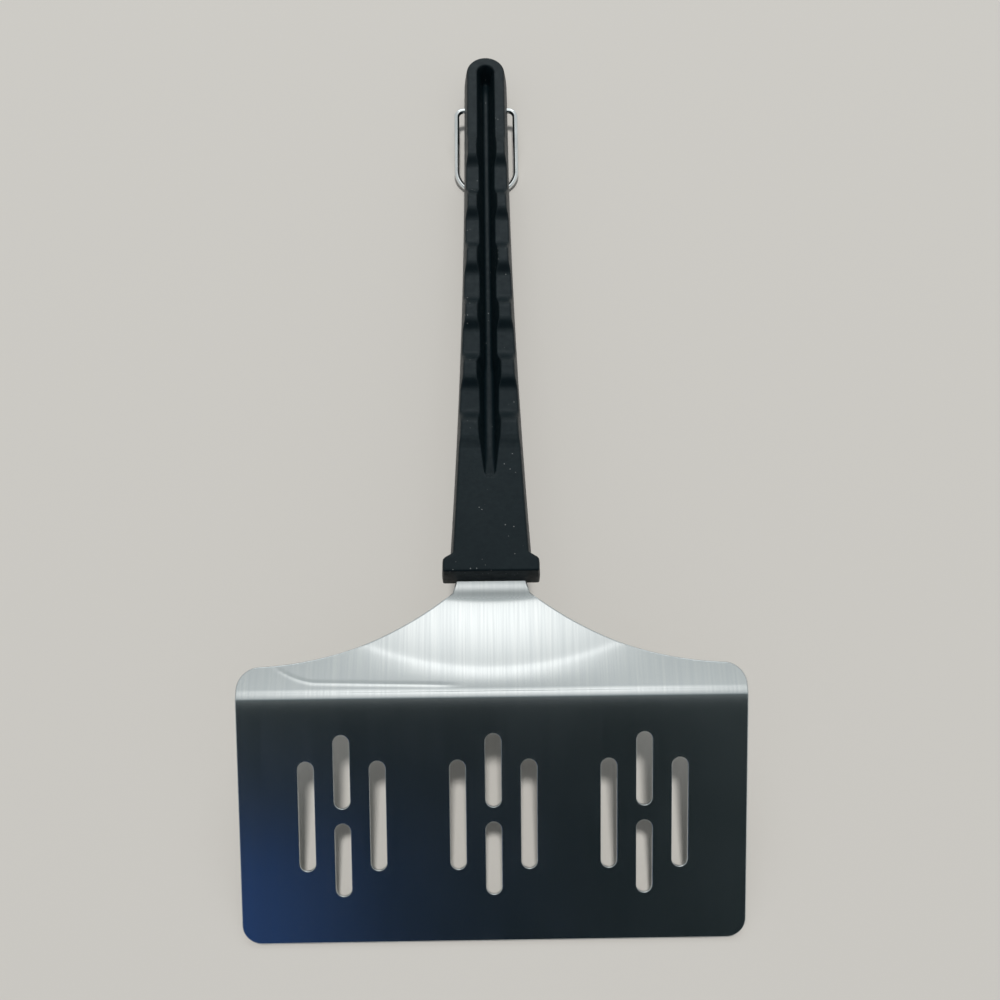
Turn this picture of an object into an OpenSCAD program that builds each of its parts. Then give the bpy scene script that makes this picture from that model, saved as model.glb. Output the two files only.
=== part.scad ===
// Slotted grill spatula with a cored plastic handle and a wire hanging loop.
// It lies underside up, as it does when it is put down after use: the front edge of the
// blade and the tip of the handle touch the ground at Z = 0, and the bend at the heel
// stands highest. X runs across the blade, Y from the front edge to the tip of the handle.
// All lengths are in millimetres and all angles in degrees.

/* [Blade] */
// Width of the blade along its front edge
blade_w = 203; // [160:1:250]
// Length of the flat blade, from the front edge to the heel
blade_len = 103; // [98:1:140]
// Thickness of the stainless sheet
sheet_t = 1.5; // [1:0.1:2.5]
// Radius of the two front corners
front_corner_r = 8; // [2:0.5:18]
// Inside radius of the bend at the heel
heel_bend_r = 1.5; // [1:0.25:4]
// Angle of the bend at the heel
heel_bend = 27.5; // [20:0.5:29]
// Angle between the blade and the handle
offset_angle = 30; // [29.5:0.5:40]

/* [Drain slots] */
// Width of every slot
slot_w = 6.3; // [4:0.1:9]
// Length of an outer slot of a group, end to end
long_slot = 45; // [25:1:60]
// Length of a middle slot of a group, end to end
short_slot = 30; // [12:0.5:32]
// Metal left between the two middle slots
slot_bridge = 6.2; // [4:0.2:12]
// Distance from the middle slots to an outer slot
slot_pitch = 14.2; // [11:0.1:16]
// Distance from one group of slots to the next
group_pitch = 60.2; // [45:0.2:65]
// Distance from the front edge to the middle of the slots
slot_mid = 52.7; // [42:0.1:56]

/* [Shoulder] */
// Height of the shoulder behind the heel at its two ends
wing_h = 10.7; // [10:0.1:16]
// Radius of the two outer corners of the shoulder
heel_corner_r = 9; // [5:0.5:9.5]
// Radius of the curved edge from the shoulder to the neck
shoulder_r = 133; // [126:1:180]
// Distance from the side of the blade to the lowest point of that curve
shoulder_inset = 3; // [0:0.5:6]
// Distance from the heel to the crease of the pressed dish
crease_at = 12.6; // [8:0.1:16]
// Radius of that crease
crease_r = 190; // [150:1:260]
// Slope of the pressed dish against the shoulder around it
dish_angle = 8; // [4:0.5:10]
// Width of the neck at its wide end, where the curved edges meet it
neck_root_w = 31.8; // [30:0.2:36]
// Width of the neck where it enters the handle
neck_w = 28.4; // [24:0.2:29]
// Flat length of the neck, from its bend to the collar of the handle
neck_len = 8.4; // [6:0.2:16]
// How far the bend of the neck lies before the curved edges meet the neck
neck_bend_back = 3.4; // [1:0.2:6]

/* [Tang] */
// Width of the tang inside the handle
tang_w = 20; // [14:0.5:22]
// Length of the tang inside the handle
tang_len = 62; // [40:1:80]
// Length over which the neck keeps its full width inside the collar
tang_root_len = 4; // [2:0.5:5]
// Diameter of the holes in the tang that the plastic flows through
lock_hole_d = 7; // [4:0.5:9]
// Distance from the collar to the first of those holes
lock_hole_at = 20; // [12:1:24]
// Distance between those holes
lock_hole_pitch = 24; // [12:1:28]
// Gap between the tang and the plastic around it
tang_fit = 0.05; // [0.02:0.01:0.15]

/* [Handle] */
// Length of the handle, from its collar to its tip
handle_len = 282; // [250:1:320]
// Width that the body of the handle would have at the collar
body_w = 34.4; // [33:0.2:37]
// Width of the handle at its narrowest place
waist_w = 22; // [20:0.2:26]
// Distance from the collar to the narrowest place
waist_at = 230; // [200:1:240]
// Height of the palm side below the top face of the sheet
back_h = 3.2; // [3.1:0.1:6]
// Height of the finger side above the top face of the sheet
grip_h = 12; // [11:0.1:15]
// Radius of the crown of the palm side
crown_r = 60; // [50:1:120]
// Width of the collar
collar_w = 39.8; // [38:0.2:46]
// Length of the collar at its full width
collar_len = 5.4; // [4:0.2:9]
// Length of the flare between the collar and the body
flare_len = 3; // [2:0.2:6]

/* [Finger waves] */
// Number of wave crests along each wall
wave_count = 6; // [4:1:6]
// Distance from the collar to the first crest
wave_first = 63.6; // [60:0.2:68]
// Distance between the first two crests
wave_pitch = 29.6; // [29:0.1:30]
// How much longer each wave is than the one before it
wave_growth = 0.8; // [0.5:0.05:0.9]
// Height of a crest above the flat of the finger side
crest_h = 1.4; // [0.6:0.1:2.5]
// Depth of a valley below the flat of the finger side
valley_h = 2.3; // [1:0.1:3]
// Half length of the flat on top of a crest
crest_flat = 3; // [2:0.1:4]
// Length of the steep slope on the collar side of a crest
steep_len = 5.5; // [4.5:0.1:7]
// Length of the gentle slope on the tip side of a crest
gentle_len = 8.5; // [7:0.1:10]

/* [Channel] */
// Height of the floor of the channel above the top face of the sheet
floor_h = 2; // [1.5:0.1:4]
// Half width of the floor of the channel
floor_half_w = 1.35; // [1:0.05:2]
// How far each wall of the channel leans out for every millimetre of height
wall_draft = 0.31; // [0.2:0.01:0.34]
// Thickness of the wall at the tip of the handle, on the finger side
tip_wall = 5; // [3:0.1:8]
// Distance from the collar to the pointed end of the channel
nose_at = 41.4; // [38:0.2:50]
// Distance from the collar to the step at the foot of the ramp
step_at = 96.5; // [85:0.5:105]
// Height of that step
step_h = 0.4; // [0.2:0.05:1]
// Half width of the ramp
ramp_half_w = 1.95; // [1.6:0.05:2.4]

/* [Hanging loop] */
// Diameter of the wire
wire_d = 2.7; // [2:0.1:3.2]
// Width of the loop over its outside
loop_w = 32.5; // [31:0.1:38]
// Distance from the pivot to the far bar of the loop
loop_len = 42.5; // [40:0.5:60]
// Centreline radius of the corners at the pivot
ear_r = 3.4; // [2.5:0.1:4]
// Centreline radius of the corners at the far bar
bow_r = 10.5; // [6:0.5:12]
// Distance from the collar to the pivot
pivot_at = 254.3; // [240:0.1:262]
// Height of the pivot above the top face of the sheet
pivot_h = 3.5; // [2.5:0.1:5]
// Depth of each pivot bore in the side of the handle
bore_depth = 5.5; // [4:0.1:6.5]
// Gap all round the wire in its bore
pivot_gap = 0.08; // [0.03:0.01:0.1]
// Gap between the end of the wire and the bottom of its bore
end_gap = 0.3; // [0.1:0.1:1]

/* [Hidden] */
$fn = 96;
steel = "silver";
plastic = "#23262a";
chrome = "gainsboro";
// A length that reaches past everything a cut has to clear
past = 60;
// How far a cut runs past the face that it opens
over = 1;
// How far one outline runs into the next, so that the two join
lap = 2;

// Section of the sheet in the plane X = 0. A point is [distance, height].
function turn(p, a) = [p[0] * cos(a) - p[1] * sin(a), p[0] * sin(a) + p[1] * cos(a)];
heel_outer_r = heel_bend_r + sheet_t;
heel_setback = heel_outer_r * tan(heel_bend / 2);
bend_steps = 8;
neck_angle = offset_angle - heel_bend;
arc_x = blade_w / 2 - shoulder_inset;
arc_y = wing_h + shoulder_r;
shoulder_top = arc_y - sqrt(pow(shoulder_r, 2) - pow(arc_x - neck_root_w / 2, 2));
neck_bend = [shoulder_top - neck_bend_back,
             (shoulder_top - neck_bend_back - crease_at) * tan(dish_angle)];
collar = neck_bend + turn([neck_len, 0], -neck_angle);
// The collar's place against the blade, whose underside front corner is the zero point
collar_on_blade = [blade_len, sheet_t] + turn(collar, -heel_bend);
tip_on_blade = collar_on_blade + turn([handle_len, -back_h], -offset_angle);

// Rest on the ground: the front corner of the sheet and the tip's corner share Z = 0
rest_tilt = -atan2(tip_on_blade[1], tip_on_blade[0]);
handle_tilt = rest_tilt - offset_angle;
collar_on_ground = turn(collar_on_blade, rest_tilt);
front_y = -sheet_t * sin(rest_tilt);
back_y = collar_on_ground[0] + turn([handle_len, grip_h], handle_tilt)[0];
middle_y = (front_y + back_y) / 2;

// Outer corners of the shoulder: each arc runs past the side of the blade and past the curved
// edge by a hair, so that it crosses them cleanly
corner_run = 0.02;
corner_x = blade_w / 2 + corner_run - heel_corner_r;
corner_y = arc_y
    - sqrt(pow(shoulder_r + heel_corner_r - corner_run, 2) - pow(arc_x - corner_x, 2));
corner_end_x = corner_x + (arc_x - corner_x) * heel_corner_r / (shoulder_r + heel_corner_r);

// Half width of the neck, which tapers to the collar
neck_taper = (neck_root_w - neck_w) / 2 / (collar[0] - shoulder_top);
function neck_half_w(y) = neck_w / 2 + neck_taper * (collar[0] - y);

// How far the cone of the dish starts below the face of the shoulder that it rises from
dish_run = 0.5;

// Plan of the handle
waist_gain = (body_w - waist_w) / 2 / pow(waist_at, 2);
function body_half_w(y) = waist_w / 2 + waist_gain * pow(max(waist_at - y, 0), 2);
tip_r = waist_w / 2;
tip_mid = handle_len - tip_r;
flare_end = collar_len + flare_len;
side_steps = 24;
tip_steps = 12;
side_ys = [for (i = [0:side_steps]) flare_end + (waist_at - flare_end) * i / side_steps];
right_side = concat(
    [for (y = side_ys) [body_half_w(y), y]],
    [for (i = [0:tip_steps]) [tip_r * cos(90 * i / tip_steps), tip_mid + tip_r * sin(90 * i / tip_steps)]]
);

// Finger waves: the height of the finger side along the handle
function crest_at(i) = wave_first + i * wave_pitch + wave_growth * i * (i - 1) / 2;
function ease(u) = (1 - cos(180 * min(max(u, 0), 1))) / 2;
slope_steps = 6;
function slope(from, to, z0, z1) =
    [for (i = [0:slope_steps])
        let (u = i / slope_steps)
        [from + (to - from) * u, z0 + (z1 - z0) * ease(u)]];
crest_z = grip_h + crest_h;
valley_z = grip_h - valley_h;
wave_line = [
    for (i = [0:wave_count - 1])
        for (p = concat(
            slope(crest_at(i) - crest_flat - steep_len, crest_at(i) - crest_flat,
                  i == 0 ? grip_h : valley_z, crest_z),
            slope(crest_at(i) + crest_flat, crest_at(i) + crest_flat + gentle_len,
                  crest_z, i == wave_count - 1 ? grip_h : valley_z)))
            p
];

// Channel: each station is [middle, direction of the wall, half width, floor height]. Both
// ends stop short of a quarter turn, which leaves the narrow flat of a milled core pin.
nose_turn = 75;
end_turn = 80;
rim_z = crest_z + over;
ramp_steps = 12;
nose_steps = 5;
end_steps = 8;
nose_mid = nose_at + ramp_half_w;
ramp_foot = floor_h + step_h;
function ramp_z(u) = ramp_foot + (grip_h - ramp_foot) * pow(1 - u, 3);
channel_end = handle_len - tip_wall - floor_half_w - wall_draft * (grip_h - floor_h);
step_gap = 0.2;
channel_stations = concat(
    [for (i = [0:nose_steps - 1]) [nose_mid, nose_turn * (i / nose_steps - 1), ramp_half_w, ramp_z(0)]],
    [for (i = [0:ramp_steps]) [nose_mid + (step_at - nose_mid) * i / ramp_steps, 0,
                               ramp_half_w, ramp_z(i / ramp_steps)]],
    [[step_at + step_gap, 0, floor_half_w, floor_h]],
    [for (i = [0:end_steps]) [channel_end, end_turn * i / end_steps, floor_half_w, floor_h]]
);

// Hanging loop at rest: its far bar lies on the ground
wire_r = wire_d / 2;
arm_x = loop_w / 2 - wire_r;
pivot_half_w = body_half_w(pivot_at);
bore_end_x = pivot_half_w - bore_depth;
pivot_on_ground = collar_on_ground + turn([pivot_at, pivot_h], handle_tilt);
loop_drop = asin((pivot_on_ground[1] - wire_r) / loop_len);

// Puts a shape drawn on the flat blade where it rests on the ground
module on_ground() {
    translate([0, -middle_y, 0])
        rotate([rest_tilt, 0, 0])
            children();
}

// Puts a shape drawn on the shoulder, with its top face at Z = 0, at the heel of the blade
module on_shoulder() {
    translate([0, blade_len, sheet_t])
        rotate([-heel_bend, 0, 0])
            children();
}

// Puts a shape drawn on the neck, with its top face at Z = 0 and Y = 0 at the collar
module on_neck() {
    translate([0, collar[0], collar[1]])
        rotate([-neck_angle, 0, 0])
            children();
}

// A section in the YZ plane, given width along X
module across(width) {
    rotate([90, 0, 90])
        linear_extrude(width, center = true)
            children();
}

module slot_2d(length) {
    half_run = (length - slot_w) / 2;
    square([slot_w, 2 * half_run], center = true);
    for (side = [-1, 1])
        translate([0, side * half_run])
            circle(d = slot_w);
}

module slot_group_2d() {
    for (side = [-1, 1]) {
        translate([side * slot_pitch, 0])
            slot_2d(long_slot);
        translate([0, side * (short_slot + slot_bridge) / 2])
            slot_2d(short_slot);
    }
}

// Outline of the blade, as far as the heel
module blade_2d() {
    translate([-blade_w / 2, front_corner_r])
        square([blade_w, blade_len - front_corner_r]);
    translate([-blade_w / 2 + front_corner_r, 0])
        square([blade_w - 2 * front_corner_r, blade_len]);
    for (side = [-1, 1])
        translate([side * (blade_w / 2 - front_corner_r), front_corner_r])
            circle(front_corner_r);
}

// Outline of the shoulder and the neck, from a little before the heel to the collar
module shoulder_2d() {
    difference() {
        translate([-blade_w / 2 - over, -lap])
            square([blade_w + 2 * over, shoulder_top + 2 * lap]);
        for (side = [-1, 1]) {
            translate([side * arc_x, arc_y])
                circle(shoulder_r, $fn = 360);
            mirror([side < 0 ? 1 : 0, 0])
                difference() {
                    translate([corner_end_x, corner_y])
                        square([past, past]);
                    translate([corner_x, corner_y])
                        circle(heel_corner_r);
                }
        }
    }
    neck_start = shoulder_top - lap;
    neck_end = collar[0] + lap;
    polygon([
        [-neck_half_w(neck_start), neck_start], [neck_half_w(neck_start), neck_start],
        [neck_half_w(neck_end), neck_end], [-neck_half_w(neck_end), neck_end]
    ]);
}

// Side view of everything below the blade and the plain shoulder, down from a given depth
// in the sheet: depth 0 is its top face and depth sheet_t is the other one
module under_sheet_2d(depth) {
    bend_mid = [blade_len - heel_setback, -heel_bend_r];
    bend = [
        for (i = [0:bend_steps])
            bend_mid + turn([0, heel_outer_r - depth], -heel_bend * i / bend_steps)
    ];
    shoulder_end = [blade_len, sheet_t]
        + turn([neck_bend[0] + depth * tan(heel_bend), -depth], -heel_bend);
    polygon(concat(
        [[-over, -past], [-over, sheet_t - depth]],
        bend,
        [shoulder_end, [shoulder_end[0], -past]]
    ));
}

// Everything below the pressed dish and the neck, in the place of the shoulder
module under_dish(depth) {
    base_r = crease_r + dish_run / tan(dish_angle);
    intersection() {
        translate([0, crease_at + crease_r, -depth / cos(dish_angle) - dish_run]) {
            cylinder(h = past * tan(dish_angle), r1 = base_r, r2 = base_r - past, $fn = 360);
            translate([0, 0, -past])
                cylinder(h = past, r = base_r, $fn = 360);
        }
        on_neck()
            translate([-blade_w, -2 * past, -past - depth])
                cube([2 * blade_w, 2 * past + tang_len + over, past]);
    }
}

module under_sheet(depth) {
    across(2 * blade_w)
        under_sheet_2d(depth);
    on_shoulder()
        under_dish(depth);
}

// Outline of the tang inside the handle; grow widens it and its holes shrink by as much
module tang_2d(grow) {
    difference() {
        union() {
            translate([-neck_w / 2 - grow, -lap])
                square([neck_w + 2 * grow, tang_root_len + grow + lap]);
            translate([-tang_w / 2 - grow, -lap])
                square([tang_w + 2 * grow, tang_len + grow + lap]);
        }
        for (i = [0, 1])
            translate([0, lock_hole_at + i * lock_hole_pitch])
                circle(d = lock_hole_d - 2 * grow);
    }
}

// A flat outline as a column that runs through the sheet
module through_sheet() {
    translate([0, 0, -past / 2])
        linear_extrude(past)
            children();
}

module sheet_outline() {
    intersection() {
        union() {
            through_sheet()
                blade_2d();
            on_shoulder() {
                through_sheet()
                    shoulder_2d();
                on_neck()
                    through_sheet()
                        tang_2d(0);
            }
        }
        translate([-blade_w / 2, -over, -2 * past])
            cube([blade_w, blade_len + 4 * past, 4 * past]);
    }
}

module drain_slots() {
    for (group = [-1:1])
        translate([group * group_pitch, slot_mid, -over])
            linear_extrude(sheet_t + 2 * over)
                slot_group_2d();
}

module blade() {
    color(steel)
        on_ground()
            difference() {
                intersection() {
                    sheet_outline();
                    difference() {
                        under_sheet(0);
                        under_sheet(sheet_t);
                    }
                }
                drain_slots();
            }
}

module collar_2d() {
    flare_w = body_half_w(flare_end);
    polygon([
        [-collar_w / 2, 0], [collar_w / 2, 0], [collar_w / 2, collar_len],
        [flare_w, flare_end], [-flare_w, flare_end], [-collar_w / 2, collar_len]
    ]);
}

module body_2d() {
    left_side = [for (i = [len(right_side) - 2:-1:0]) [-right_side[i][0], right_side[i][1]]];
    polygon(concat(right_side, left_side));
}

// Side view of the body, with the waves along its finger side
module profile_2d() {
    polygon(concat(
        [[0, -back_h], [0, grip_h]],
        wave_line,
        [[handle_len, grip_h], [handle_len, -back_h]]
    ));
}

module body() {
    intersection() {
        translate([0, 0, -past])
            linear_extrude(2 * past)
                body_2d();
        across(2 * past)
            profile_2d();
        translate([0, -over, crown_r - back_h])
            rotate([-90, 0, 0])
                cylinder(h = handle_len + 2 * over, r = crown_r, $fn = 360);
    }
}

// The tapered channel cored out of the finger side
module channel() {
    n = len(channel_stations);
    function floor_point(s, side) =
        [side * s[2] * cos(s[1]), s[0] + s[2] * sin(s[1]), s[3]];
    function rim_point(s, side) =
        let (r = s[2] + wall_draft * (rim_z - s[3]))
        [side * r * cos(s[1]), s[0] + r * sin(s[1]), rim_z];
    points = [
        for (s = channel_stations)
            for (p = [floor_point(s, -1), floor_point(s, 1), rim_point(s, 1), rim_point(s, -1)])
                p
    ];
    sides = [
        for (i = [0:n - 2])
            for (k = [0:3])
                for (f = [[4 * i + k, 4 * i + (k + 1) % 4, 4 * i + 4 + k],
                          [4 * i + (k + 1) % 4, 4 * i + 4 + (k + 1) % 4, 4 * i + 4 + k]])
                    f
    ];
    polyhedron(points, concat(
        [[3, 2, 1, 0]],
        sides,
        [[4 * n - 4, 4 * n - 3, 4 * n - 2, 4 * n - 1]]
    ), convexity = 4);
}

module pivot_bores() {
    for (side = [-1, 1])
        translate([side * bore_end_x, pivot_at, pivot_h])
            rotate([0, side * 90, 0])
                cylinder(h = bore_depth + over, r = wire_r + pivot_gap);
}

module tang_socket() {
    translate([0, 0, -sheet_t - tang_fit])
        linear_extrude(sheet_t + 2 * tang_fit)
            tang_2d(tang_fit);
}

module handle() {
    color(plastic)
        on_ground()
            on_shoulder()
                on_neck()
                    difference() {
                        union() {
                            translate([0, 0, -back_h])
                                linear_extrude(back_h + grip_h)
                                    collar_2d();
                            body();
                        }
                        channel();
                        tang_socket();
                        pivot_bores();
                    }
}

// A quarter turn of the wire, from its start along -Y to its end along X
module wire_bend(r) {
    rotate_extrude(angle = 90, $fn = 192)
        translate([r, 0])
            circle(wire_r, $fn = 32);
}

module wire(length) {
    cylinder(h = length, r = wire_r, $fn = 32);
}

// One half of the loop, from the middle of its far bar to its end in the handle
module half_loop() {
    stub_x = bore_end_x + end_gap;
    translate([stub_x, 0, 0])
        rotate([0, 90, 0])
            wire(arm_x - ear_r - stub_x);
    translate([arm_x - ear_r, ear_r, 0])
        rotate([0, 0, -90])
            wire_bend(ear_r);
    translate([arm_x, ear_r, 0])
        rotate([-90, 0, 0])
            wire(loop_len - ear_r - bow_r);
    translate([arm_x - bow_r, loop_len - bow_r, 0])
        wire_bend(bow_r);
    translate([0, loop_len, 0])
        rotate([0, 90, 0])
            wire(arm_x - bow_r);
}

module hang_loop() {
    color(chrome)
        translate([0, pivot_on_ground[0] - middle_y, pivot_on_ground[1]])
            rotate([180 + loop_drop, 0, 0])
                for (side = [0, 1])
                    mirror([side, 0, 0])
                        half_loop();
}

blade();
handle();
hang_loop();
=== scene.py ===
"""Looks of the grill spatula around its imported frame.

Sizes are in millimetres and angles in degrees, as in the part's source, until a mesh is made. The stage,
the lamps and the materials are in metres.
"""

import math

import bpy
import numpy as np
from mathutils import Matrix, Vector
from mathutils.geometry import delaunay_2d_cdt


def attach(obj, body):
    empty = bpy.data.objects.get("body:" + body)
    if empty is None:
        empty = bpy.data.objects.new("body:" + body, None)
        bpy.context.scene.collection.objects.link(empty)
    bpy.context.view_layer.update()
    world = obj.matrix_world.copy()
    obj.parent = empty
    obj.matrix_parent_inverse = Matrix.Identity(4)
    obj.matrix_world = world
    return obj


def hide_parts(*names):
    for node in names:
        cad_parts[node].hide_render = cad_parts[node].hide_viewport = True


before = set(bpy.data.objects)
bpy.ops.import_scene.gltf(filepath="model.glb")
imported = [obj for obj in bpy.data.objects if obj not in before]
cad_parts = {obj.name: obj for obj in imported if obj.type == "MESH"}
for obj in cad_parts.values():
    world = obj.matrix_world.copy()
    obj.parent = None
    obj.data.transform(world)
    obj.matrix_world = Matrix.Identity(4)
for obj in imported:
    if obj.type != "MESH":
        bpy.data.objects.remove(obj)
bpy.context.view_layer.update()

MM = 0.001
# Decimal places to which two points of a mesh have to agree to be one
WELD_DIGITS = 4

# ---------------------------------------------------------------- sizes of the part's source

# Blade
BLADE_W, BLADE_LEN, SHEET_T = 203.0, 103.0, 1.5
FRONT_CORNER_R = 8.0
HEEL_BEND, OFFSET_ANGLE = 27.5, 30.0
SLOT_W, LONG_SLOT, SHORT_SLOT, SLOT_BRIDGE = 6.3, 45.0, 30.0, 6.2
SLOT_PITCH, GROUP_PITCH, SLOT_MID = 14.2, 60.2, 52.7
# Shoulder, neck and tang
WING_H, HEEL_CORNER_R, SHOULDER_R, SHOULDER_INSET = 10.7, 9.0, 133.0, 3.0
CREASE_AT, DISH_ANGLE = 12.6, 8.0
NECK_ROOT_W, NECK_W, NECK_LEN, NECK_BEND_BACK = 31.8, 28.4, 8.4, 3.4
TANG_W, TANG_LEN, TANG_ROOT_LEN = 20.0, 62.0, 4.0
# Handle
HANDLE_LEN, BODY_W, WAIST_W, WAIST_AT = 282.0, 34.4, 22.0, 230.0
BACK_H, GRIP_H, CROWN_R = 3.2, 12.0, 60.0
COLLAR_W, COLLAR_LEN, FLARE_LEN = 39.8, 5.4, 3.0
WAVE_COUNT, WAVE_FIRST, WAVE_PITCH, WAVE_GROWTH = 6, 63.6, 29.6, 0.8
CREST_H, VALLEY_H, CREST_FLAT, STEEP_LEN, GENTLE_LEN = 1.4, 2.3, 3.0, 5.5, 8.5
FLOOR_H, FLOOR_HALF_W, WALL_DRAFT, TIP_WALL = 2.0, 1.35, 0.31, 5.0
NOSE_AT, STEP_AT, STEP_H, RAMP_HALF_W = 41.4, 96.5, 0.4, 1.95
# Hanging loop
WIRE_D, LOOP_W, LOOP_LEN, EAR_R, BOW_R = 2.7, 32.5, 42.5, 3.4, 10.5
PIVOT_AT, PIVOT_H, BORE_DEPTH, END_GAP = 254.3, 3.5, 5.5, 0.3


def turn(y, z, angle):
    c, s = math.cos(math.radians(angle)), math.sin(math.radians(angle))
    return y * c - z * s, y * s + z * c


def tan(angle):
    return math.tan(math.radians(angle))


def body_half_w(y):
    gain = (BODY_W - WAIST_W) / 2 / WAIST_AT**2
    return WAIST_W / 2 + gain * np.maximum(WAIST_AT - y, 0) ** 2


# The same chain of places as in the part's source: shoulder, neck, collar, handle, ground
NECK_ANGLE = OFFSET_ANGLE - HEEL_BEND
ARC_X = BLADE_W / 2 - SHOULDER_INSET
ARC_Y = WING_H + SHOULDER_R
SHOULDER_TOP = ARC_Y - math.sqrt(SHOULDER_R**2 - (ARC_X - NECK_ROOT_W / 2) ** 2)
NECK_BEND_Y = SHOULDER_TOP - NECK_BEND_BACK
NECK_BEND_Z = (NECK_BEND_Y - CREASE_AT) * tan(DISH_ANGLE)
_dy, _dz = turn(NECK_LEN, 0, -NECK_ANGLE)
COLLAR_Y, COLLAR_Z = NECK_BEND_Y + _dy, NECK_BEND_Z + _dz
_dy, _dz = turn(COLLAR_Y, COLLAR_Z, -HEEL_BEND)
HANDLE_Y, HANDLE_Z = BLADE_LEN + _dy, SHEET_T + _dz
_dy, _dz = turn(HANDLE_LEN, -BACK_H, -OFFSET_ANGLE)
REST_TILT = -math.degrees(math.atan2(HANDLE_Z + _dz, HANDLE_Y + _dy))
HANDLE_TILT = REST_TILT - OFFSET_ANGLE
GROUND_Y, GROUND_Z = turn(HANDLE_Y, HANDLE_Z, REST_TILT)
FRONT_Y = -SHEET_T * math.sin(math.radians(REST_TILT))
BACK_Y = GROUND_Y + turn(HANDLE_LEN, GRIP_H, HANDLE_TILT)[0]
MIDDLE_Y = (FRONT_Y + BACK_Y) / 2


def from_blade(y, z):
    y, z = turn(y, z, REST_TILT)
    return y - MIDDLE_Y, z


def from_shoulder(y, z):
    y, z = turn(y, z, -HEEL_BEND)
    return from_blade(BLADE_LEN + y, SHEET_T + z)


def from_handle(y, z):
    y, z = turn(y, z, HANDLE_TILT)
    return GROUND_Y + y - MIDDLE_Y, GROUND_Z + z


# ---------------------------------------------------------------- meshes

def new_mesh(name, verts, faces, normals=None, uvs=None):
    """verts in millimetres. normals and uvs have one row for each vertex."""
    mesh = bpy.data.meshes.new(name)
    mesh.from_pydata((np.asarray(verts) * MM).tolist(), [], faces)
    mesh.update()
    mesh.polygons.foreach_set("use_smooth", [True] * len(mesh.polygons))
    if uvs is not None:
        layer = mesh.uv_layers.new(name="flat")
        index = np.zeros(len(mesh.loops), np.int32)
        mesh.loops.foreach_get("vertex_index", index)
        layer.data.foreach_set("uv", (np.asarray(uvs) * MM)[index].ravel().astype(np.float32))
    if normals is not None:
        n = np.asarray(normals)
        n = n / np.linalg.norm(n, axis=1, keepdims=True)
        mesh.normals_split_custom_set_from_vertices(n.tolist())
    obj = bpy.data.objects.new(name, mesh)
    bpy.context.scene.collection.objects.link(obj)
    return obj


def join_equal(verts, faces):
    """Joins points that agree to WELD_DIGITS, and drops the faces that have collapsed."""
    points, place = np.unique(np.round(verts, WELD_DIGITS), axis=0, return_inverse=True)
    joined = [list(dict.fromkeys(int(place[v]) for v in face)) for face in faces]
    return points, [face for face in joined if len(face) > 2]


def ease(u):
    return (1 - np.cos(np.pi * np.clip(u, 0, 1))) / 2


def soft_max(a, b, k):
    return (a + b + np.sqrt((a - b) ** 2 + k * k)) / 2


def soft_min(a, b, k):
    return (a + b - np.sqrt((a - b) ** 2 + k * k)) / 2


def arc(cx, cy, r, start, end, count):
    a = np.radians(np.linspace(start, end, count))
    return np.stack([cx + r * np.cos(a), cy + r * np.sin(a)], -1)


def resample(points, step):
    """The same line with more points, at most a step apart."""
    out = []
    for p, q in zip(points[:-1], points[1:]):
        n = max(1, int(math.ceil(np.linalg.norm(q - p) / step)))
        out += [p + (q - p) * k / n for k in range(n)]
    return np.array(out + [points[-1]])


# ---------------------------------------------------------------- blade: form of the sheet

# The heel's bend. Its middle lies FOLD_BACK in front of the place where the CAD's two planes meet. Each
# part of it takes a share of the slope between two distances past the middle, and the rest of the slope
# fades out towards the front edge.
FOLD_BACK = 2.15
FOLD_PARTS = ((0.35, 0.15, 3.35), (0.51, -0.45, 0.15))
FOLD_TAIL, FOLD_TAIL_AT, FOLD_TAIL_LEN = 0.14, -0.45, 3.2
# The pressed dish: place and radius of its crease, as the photo shows it, softness of the crease and of
# the neck's bend, height of its crown, and depth of the hollow between the heel and the crease
DISH_FROM, CREASE_R = 8.9, 134.0
CREASE_SOFT, NECK_SOFT = 0.22, 0.14
CROWN_RISE, FLANGE_HOLLOW = 0.22, 0.10
# The sheet curls up where it enters the handle, by this slope over this length, just into the collar
NECK_CURL, NECK_CURL_LEN, NECK_CURL_PAST = 0.31, 6.0, 0.5
# A faint second fold, low on the left of the flange. It climbs slowly to the left, then turns up.
MARK_H, MARK_HALF_W, MARK_AT = 0.055, 0.75, 2.6
MARK_SLOPE, MARK_SLOPE_FROM, MARK_SLOPE_LEN = 0.027, -15, 60
MARK_TURN_FROM, MARK_TURN_LEN, MARK_TURN_H, MARK_TURN_POWER = -70, 16, 6.0, 1.8
MARK_LEFT, MARK_LEFT_FADE, MARK_RIGHT, MARK_RIGHT_FADE = -90, 8, -10, 14
# Half the distance over which the directions of the sheet are measured
PROBE = 0.03


def flange_mark(x, y):
    slope = MARK_SLOPE * np.clip(MARK_SLOPE_FROM - x, 0, MARK_SLOPE_LEN)
    turn_up = np.maximum((MARK_TURN_FROM - x) / MARK_TURN_LEN, 0) ** MARK_TURN_POWER
    path = MARK_AT + slope + MARK_TURN_H * turn_up
    fade = ease((x - MARK_LEFT) / MARK_LEFT_FADE) * ease((MARK_RIGHT - x) / MARK_RIGHT_FADE)
    return MARK_H * fade * np.exp(-((y - path) / MARK_HALF_W) ** 2)


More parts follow.
